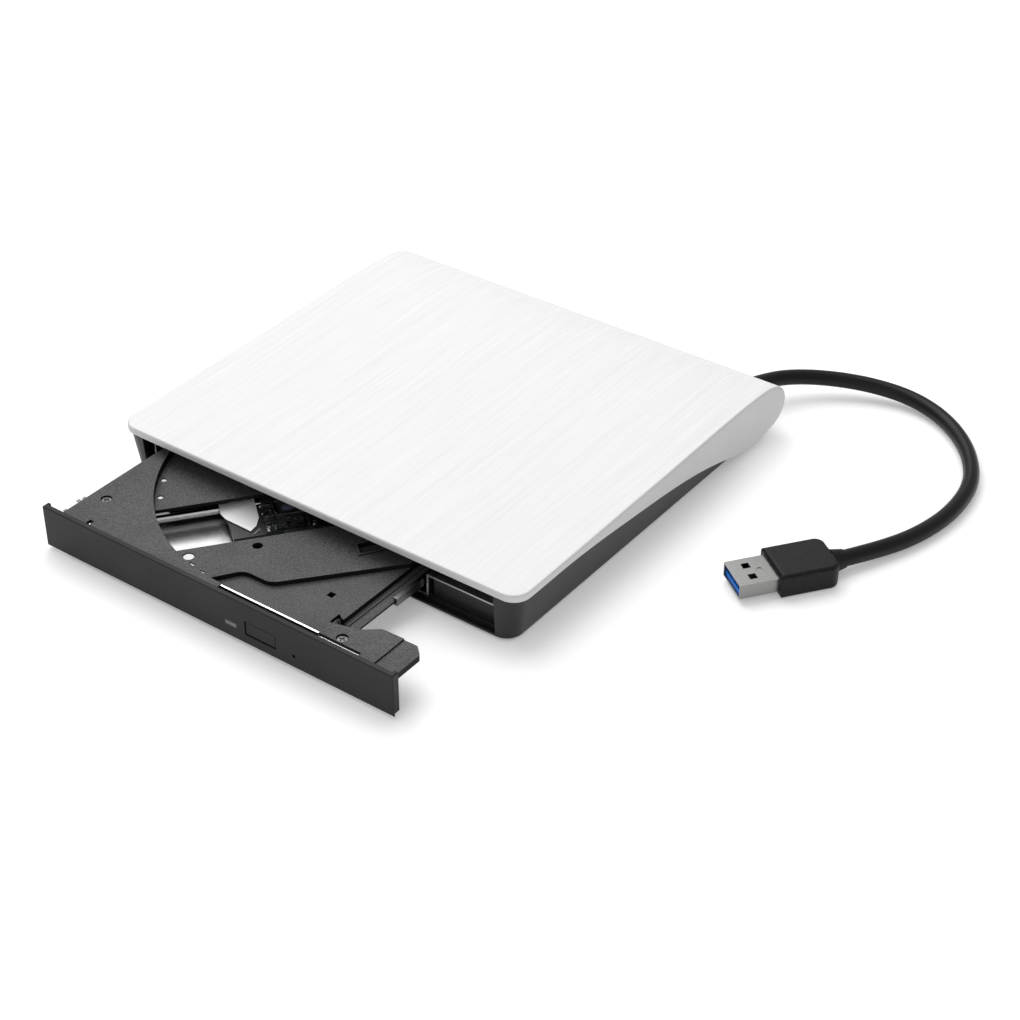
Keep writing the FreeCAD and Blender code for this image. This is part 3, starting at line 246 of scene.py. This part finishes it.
grained("base_black", (0.007, 0.007, 0.008), (0.012, 0.012, 0.013), grain=3000, roughness=(0.34, 0.42),
        bump=0.1, edge=0.0005, shine=0.35)
grained("foot_rubber", grey(0.03), grey(0.045), grain=2000, roughness=(0.7, 0.85), bump=0.2)
grained("connector_plastic", grey(0.03), grey(0.045), roughness=(0.4, 0.5), bump=0.1)
grained("chip_plastic", (0.014, 0.014, 0.015), (0.025, 0.025, 0.026), grain=4000, roughness=(0.45, 0.55),
        bump=0.1)
grained("cable_jacket", grey(0.003), grey(0.006), grain=3500, roughness=(0.34, 0.42), bump=0.05, shine=0.22)
grained("plug_moulding", grey(0.002), grey(0.01), grain=1500, roughness=(0.4, 0.5), bump=0.3, fine=1620,
        edge=0.0004, shine=0.2)
# The tray's walls are painted near black (0.008) as painted shade.
grained("tray_plastic", (0.022, 0.022, 0.023), (0.105, 0.105, 0.106), grain=2100, roughness=(0.5, 0.65),
        bump=0.5, fine=1890, walls=0.008)
grained("bezel_plastic", (0.010, 0.010, 0.011), (0.016, 0.016, 0.017), grain=3200, roughness=(0.42, 0.5),
        bump=0.08, shine=0.22)
grained("hub_plastic", grey(0.03), grey(0.045), roughness=(0.35, 0.45), bump=0.1)
grained("sled_plastic", grey(0.02), grey(0.035), roughness=(0.35, 0.5), bump=0.15)

sheet_metal("screw_steel", grey(0.10), grey(0.17), (0.3, 0.42))
sheet_metal("case_steel", (0.44, 0.44, 0.45), (0.52, 0.52, 0.53), (0.28, 0.42))
sheet_metal("bracket_steel", (0.80, 0.80, 0.81), grey(0.9), (0.18, 0.3))
sheet_metal("chassis_steel", grey(0.42), grey(0.50), (0.22, 0.30))
sheet_metal("runner_steel", grey(0.16), grey(0.24), (0.26, 0.38), along=(30, 1, 30))
sheet_metal("plug_steel", (0.23, 0.23, 0.225), (0.31, 0.31, 0.305), (0.24, 0.34), along=(6, 6, 30), scale=400)
sheet_metal("contact_metal", (0.80, 0.60, 0.25), (0.88, 0.70, 0.34), (0.2, 0.3))
sheet_metal("motor_metal", grey(0.26), grey(0.36), (0.3, 0.42))
sheet_metal("polished_rod", (0.75, 0.75, 0.76), (0.82, 0.82, 0.83), (0.1, 0.18))
# Painted reflection: little metal and a near-white colour make this sheet show white, in place of the bright
# sky that its real metal mirrors.
sheet_metal("shield_metal", grey(0.93), grey(0.98), (0.3, 0.4), metallic=0.25)

glossy("flex_film", (0.30, 0.12, 0.025), (0.40, 0.18, 0.04), (0.2, 0.32))
glossy("wire_sleeve", grey(0.03), grey(0.05), (0.35, 0.5))
glossy("plug_blue", (0.0, 0.13, 0.55), (0.0, 0.16, 0.66), (0.4, 0.5), Specular_IOR_Level=0.2)
glossy("rim_white", grey(0.86), grey(0.92), (0.4, 0.5))
glossy("lamp_lens", grey(0.10), grey(0.14), (0.25, 0.35))

for part in frame["record"]["subparts"]:
    mesh = NODES[part["node"]].data
    mesh.materials.clear()
    mesh.materials.append(M[part["material_slot"]])


# ---- helpers for pieces made here ----

def piece(name, mesh, material, body, smooth=False):
    obj = bpy.data.objects.new(name, mesh)
    bpy.context.scene.collection.objects.link(obj)
    mesh.materials.append(M[material])
    if smooth:
        for face in mesh.polygons:
            face.use_smooth = True
    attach(obj, body)
    return obj


def finished(bm, name):
    mesh = bpy.data.meshes.new(name)
    bm.to_mesh(mesh)
    bm.free()
    return mesh


def prism(name, places, height, edge, segments=2):
    """A bevelled prism that stands on places of the row frame."""
    bm = bmesh.new()
    base = bm.faces.new([bm.verts.new(place) for place in places])
    top = bmesh.ops.extrude_face_region(bm, geom=[base])
    raised = [v for v in top["geom"] if isinstance(v, bmesh.types.BMVert)]
    bmesh.ops.translate(bm, vec=(0, 0, height * MM), verts=raised)
    bmesh.ops.recalc_face_normals(bm, faces=bm.faces)
    bmesh.ops.bevel(bm, geom=list(bm.edges), offset=edge * MM, segments=segments, affect="EDGES",
                    profile=0.6)
    return finished(bm, name)


def block(name, corners, z0, z1, material, body, edge=0.1):
    """A prism from corners of the shut tray seen from above, with a small bevel."""
    places = [on_tray(x, y, z0) for x, y in corners]
    return piece(name, prism(name, places, z1 - z0, edge), material, body)


def rect(x0, x1, y0, y1):
    return [(x0, y0), (x1, y0), (x1, y1), (x0, y1)]


def sled_place(s, t):
    """Along the pickup's path from the spindle, and to its right, in millimetres of the shut tray."""
    return (SPINDLE_X - s * SLED_COS + t * SLED_SIN, SPINDLE_Y - s * SLED_SIN - t * SLED_COS)


def sled_rect(s0, s1, t0, t1):
    return [sled_place(s, t) for s, t in ((s0, t0), (s1, t0), (s1, t1), (s0, t1))]


def disc(name, x, y, z0, z1, radius, material, body, sides=40, edge=0.08):
    corners = [(x + radius * math.cos(2 * math.pi * i / sides), y + radius * math.sin(2 * math.pi * i / sides))
               for i in range(sides)]
    return block(name, corners, z0, z1, material, body, edge)


def wire(name, places, radius, material, body, kind="POLY", roundness=4, steps=12):
    """A round wire along places of the row frame."""
    data = bpy.data.curves.new(name, "CURVE")
    data.dimensions = "3D"
    data.bevel_depth = radius * MM
    data.bevel_resolution = roundness
    data.resolution_u = steps
    data.use_fill_caps = True
    spline = data.splines.new(kind)
    spline.points.add(len(places) - 1)
    for point, place in zip(spline.points, places):
        point.co = (*place, 1)
    if kind == "NURBS":
        spline.order_u = 3
        spline.use_endpoint_u = True
    obj = bpy.data.objects.new(name, data)
    bpy.context.scene.collection.objects.link(obj)
    data.materials.append(M[material])
    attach(obj, body)
    return obj


# ---- camera, floor and light, in metres of the row frame ----

CAMERA_PLACE = (0.346296, -0.422471, 0.373835)
CAMERA_RIGHT = Vector((0.804987, 0.593292, 0.0))
CAMERA_UP = Vector((-0.342357, 0.464514, 0.816712))
CAMERA_BACK = Vector((0.484549, -0.657443, 0.577045))
FLOOR_DROP = 0.00002  # keeps the feet and the cable just clear of the floor
FLOOR_GLOW = 0.22  # lifts the floor to white beside the object, so only soft shadows show
SKY = 0.52


def camera():
    data = bpy.data.cameras.new("camera")
    data.lens = 76.58
    data.sensor_width = 36.0
    data.clip_start = 0.01
    obj = bpy.data.objects.new("camera", data)
    turn = Matrix((CAMERA_RIGHT, CAMERA_UP, CAMERA_BACK)).transposed()
    obj.matrix_world = Matrix.Translation(CAMERA_PLACE) @ turn.to_4x4()
    bpy.context.scene.collection.objects.link(obj)
    bpy.context.scene.camera = obj


def area_light(name, place, size, power):
    """A square light that looks at the origin."""
    data = bpy.data.lights.new(name, "AREA")
    data.energy = power
    data.size = size
    obj = bpy.data.objects.new(name, data)
    obj.location = place
    obj.rotation_euler = (-Vector(place)).to_track_quat("-Z", "Y").to_euler()
    bpy.context.scene.collection.objects.link(obj)


def floor():
    bm = bmesh.new()
    bmesh.ops.create_grid(bm, x_segments=1, y_segments=1, size=3.0)
    obj = bpy.data.objects.new("floor", finished(bm, "floor"))
    obj.location = (0, 0, -FLOOR_DROP)
    m = Mat("floor", Base_Color=(0.95, 0.95, 0.95, 1), Roughness=0.9, Specular_IOR_Level=0.1,
            Emission_Color=(1, 1, 1, 1), Emission_Strength=FLOOR_GLOW)
    obj.data.materials.append(m.m)
    bpy.context.scene.collection.objects.link(obj)


def world():
    w = bpy.data.worlds.new("studio")
    w.use_nodes = True
    background = w.node_tree.nodes["Background"]
    background.inputs["Color"].default_value = (1, 1, 1, 1)
    background.inputs["Strength"].default_value = SKY
    bpy.context.scene.world = w


camera()
floor()
world()
bpy.context.scene.view_settings.view_transform = "Standard"
area_light("key", (-0.55, 0.35, 1.1), 1.2, 12)
area_light("front", (0.35, -1.1, 0.55), 0.9, 1.5)


# ---- cable and the painted-shade sheet in its plug ----

LEAD_RADIUS = 2.5
LEAD_ROUTE = [(61.5, 142.6, 7.9), (64.1, 150.4, 7.3), (70.0, 158.6, 6.3), (78.8, 165.8, 5.1),
              (89.5, 171.2, 3.9), (101.2, 173.8, 2.7), (112.6, 171.6, 1.9), (123.1, 165.4, 1.56),
              (132.5, 155.4, 1.53), (139.5, 142.4, 1.56), (141.4, 126.0, 1.54), (139.0, 110.6, 1.6),
              (133.9, 96.8, 2.1), (127.4, 84.7, 2.9)]
PLUG_REAR = (125.3, 81.4, 2.9)  # middle of the plug's rear face
PLUG_WAY = (-0.592, -0.806)  # the way the plug points
# The black sheet inside the plug stands in for the shade there: painted shade.
SHADE_SHEET_FROM, SHADE_SHEET_TO = 12.7, 29.2  # along the plug
SHADE_SHEET_HALF = 5.5
SHADE_SHEET_DROP = 0.3  # below the plug's middle height
SHADE_SHEET_THICK = 0.12


def plug_place(along, side, up):
    """A place on the plug, in the row frame: along from its rear to its mouth, side to its left."""
    x, y, z = PLUG_REAR
    dx, dy = PLUG_WAY
    return at(x + along * dx - side * dy, y + along * dy + side * dx, z + up)


def plug_shade_sheet():
    """Thin black sheet over the tongue behind the contacts, painted shade that makes the mouth and the two
    holes look black.
    """
    places = [plug_place(along, side, -SHADE_SHEET_DROP)
              for along, side in rect(SHADE_SHEET_FROM, SHADE_SHEET_TO, -SHADE_SHEET_HALF, SHADE_SHEET_HALF)]
    mesh = prism("plug_shade_sheet", places, SHADE_SHEET_THICK, 0.03, segments=1)
    return piece("plug_shade_sheet", mesh, "plug_moulding", "housing")


def lead():
    obj = wire("usb_cable", [at(*place) for place in LEAD_ROUTE], LEAD_RADIUS, "cable_jacket", "housing",
               kind="NURBS", roundness=8, steps=24)
    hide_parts("usb_lead")
    ([plug_shade_sheet()] + [NODES[n] for n in (
                "lead_boot", "plug_body", "plug_collar", "plug_shell", "plug_insulator", "plug_contacts")])


lead()


# ---- lead screw and eject spring ----

SCREW_FROM, SCREW_TO = 19.2, 62.7  # along the pickup's path
SCREW_SIDE, SCREW_Z = -14.4, 5.9
THREAD_PITCH = 3.0
THREAD_MEAN, THREAD_HALF_DEPTH = 0.86, 0.13
SCREW_END_RADIUS, SCREW_END_LENGTH = 0.8, 1.5  # the plain journals
SPRING_TURNS, SPRING_FROM, SPRING_TO = 9, 97.8, 107.4
SPRING_X, SPRING_Z, SPRING_RADIUS, SPRING_WIRE = -40, 5.0, 1.42, 0.24


def lead_screw():
    """Rolled thread along the screw's axis, between two plain journals."""
    around, per_mm = 24, 8
    length = SCREW_TO - SCREW_FROM
    steps = int(length * per_mm)
    bm = bmesh.new()
    rings = []
    for i in range(steps + 1):
        s = SCREW_FROM + length * i / steps
        threaded = SCREW_END_LENGTH < s - SCREW_FROM < length - SCREW_END_LENGTH
        x, y = sled_place(s, SCREW_SIDE)
        ring = []
        for j in range(around):
            a = 2 * math.pi * j / around
            r = SCREW_END_RADIUS
            if threaded:
                r = THREAD_MEAN + THREAD_HALF_DEPTH * math.cos(a - 2 * math.pi * s / THREAD_PITCH)
            ring.append(bm.verts.new(on_tray(x + r * math.cos(a) * SLED_SIN, y - r * math.cos(a) * SLED_COS,
                                             SCREW_Z + r * math.sin(a))))
        rings.append(ring)
    for a, b in zip(rings, rings[1:]):
        for j in range(around):
            bm.faces.new((a[j], a[(j + 1) % around], b[(j + 1) % around], b[j]))
    bm.faces.new(rings[0])
    bm.faces.new(list(reversed(rings[-1])))
    bmesh.ops.recalc_face_normals(bm, faces=bm.faces)
    obj = piece("screw_thread", finished(bm, "screw_thread"), "polished_rod", "screw", smooth=True)
    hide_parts("lead_screw")


def spring():
    """Coil of the eject spring at its pressed length."""
    per_turn = 20
    count = SPRING_TURNS * per_turn
    places = []
    for i in range(count + 1):
        a = 2 * math.pi * i / per_turn
        places.append(on_tray(SPRING_X + SPRING_RADIUS * math.cos(a),
                              SPRING_FROM + (SPRING_TO - SPRING_FROM) * i / count,
                              SPRING_Z + SPRING_RADIUS * math.sin(a)))
    obj = wire("spring_coil", places, SPRING_WIRE, "screw_steel", "tray")
    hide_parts("eject_spring")


lead_screw()
spring()


# ---- small parts on the pickup and the tray ----

BOARD_TOP = 6.4  # top of the pickup's board
SMD_ROWS, SMD_COLUMNS = 9, 8
SMD_SIZES = ((1.4, 0.7, 0.5), (0.7, 1.1, 0.7), (1.5, 1.0, 0.35), (0.9, 0.5, 0.9))  # long, wide, tall
SMD_MATERIALS = ("chip_plastic", "motor_metal", "connector_plastic", "chassis_steel")
MAGNET_FROM, MAGNET_TO = 18.4, 26.4
TAB_INNER_X = -58.7
TAB_HALF = 0.6
RIM_FLOOR, RIM_TOP = 7.8, 9.3
HOLE_LIGHT_PIN_HEIGHT = 1.6


def over_lens(s, t):
    """Whether a board part at this place would stand in the lens opening."""
    return 18.0 < s + 0.7 < 27.2 and -3.6 < t + 0.4 < 4.4


def pickup_parts():
    """Board parts, solder, lens magnets, suspension wires and laser leads on the sled."""
    count = 0
    for row in range(SMD_ROWS):
        for column in range(SMD_COLUMNS):
            s = 14.7 + 1.95 * column + 0.35 * (row % 3)
            t = -4.5 + 1.55 * row + 0.3 * (column % 2)
            if over_lens(s, t) or s > 29.4:
                continue
            kind = (3 * row + 5 * column) % 7
            long, wide, tall = SMD_SIZES[kind % 4]
            block("pickup_smd_%02d" % count, sled_rect(s, s + long, t, t + wide),
                  BOARD_TOP, BOARD_TOP + tall, SMD_MATERIALS[(kind + row) % 4], "sled", 0.05)
            count += 1
    for i, (s, t) in enumerate(((16.4, 9.3), (29.6, 9.0), (14.7, -2.6), (29.9, -3.6), (29.9, 0.6))):
        disc("pickup_solder_%d" % i, *sled_place(s, t), 6.38, 6.7, 0.36, "shield_metal", "sled", 20)
    for i, t in enumerate((-3.9, 3.1)):
        block("lens_magnet_%d" % i, sled_rect(MAGNET_FROM, MAGNET_TO, t, t + 0.8), BOARD_TOP, 8.0,
              "motor_metal", "sled", 0.1)
    for i, s in enumerate((18.2, 26.0)):
        block("lens_yoke_%d" % i, sled_rect(s, s + 0.6, -3.1, 3.1), BOARD_TOP, 8.2,
              "motor_metal", "sled", 0.08)
    for i, (t, z) in enumerate(((-2.6, 7.0), (-2.6, 7.4), (2.6, 7.0), (2.6, 7.4))):
        places = [on_tray(*sled_place(26.8, t), z), on_tray(*sled_place(29.6, t * 1.15), z)]
        wire("lens_wire_%d" % i, places, 0.06, "motor_metal", "sled")
    for i in range(6):
        places = [on_tray(*sled_place(31.6, 5.6 + 0.35 * i), 6.15),
                  on_tray(*sled_place(33.4 + 0.2 * i, 8.2 + 0.2 * i), 6.12)]
        wire("laser_lead_%d" % i, places, 0.12, "motor_metal", "sled")


def tray_parts():
    """Sheet tabs at the tray's left edge, and pale pins and pads where its small holes are, white as painted
    light seen through those holes.
    """
    for i, (x, y) in enumerate(((-60.2, 9.5), (-59.7, 11.4), (-59.7, 3.8))):
        block("edge_tab_%d" % i, rect(x, TAB_INNER_X, y - TAB_HALF, y + TAB_HALF), 11.7, 11.95, "runner_steel",
              "tray", 0.05)
    # Painted light: the pale pins and pads stand for the white light seen through the tray's small holes.
    for i, (x, y, radius) in enumerate(((-49.6, 34.1, 0.84), (-44.2, 27.0, 0.84), (-17.5, 10.6, 1.6))):
        disc("hole_light_pin_%d" % i, x, y, RIM_TOP - HOLE_LIGHT_PIN_HEIGHT, RIM_TOP, radius, "rim_white", "tray")
    for i, (x, y) in enumerate(((-14.2, 8.5), (-9.4, 7.5))):
        block("hole_light_pad_%d" % i, rect(x - 0.85, x + 0.85, y - 0.36, y + 0.36), RIM_FLOOR, RIM_TOP, "rim_white",
              "tray", 0.05)
    block("rim_mark", rect(-49.5, -48.8, 2.9, 3.9), 11.2, 11.4, "bracket_steel", "tray", 0.05)


pickup_parts()
tray_parts()
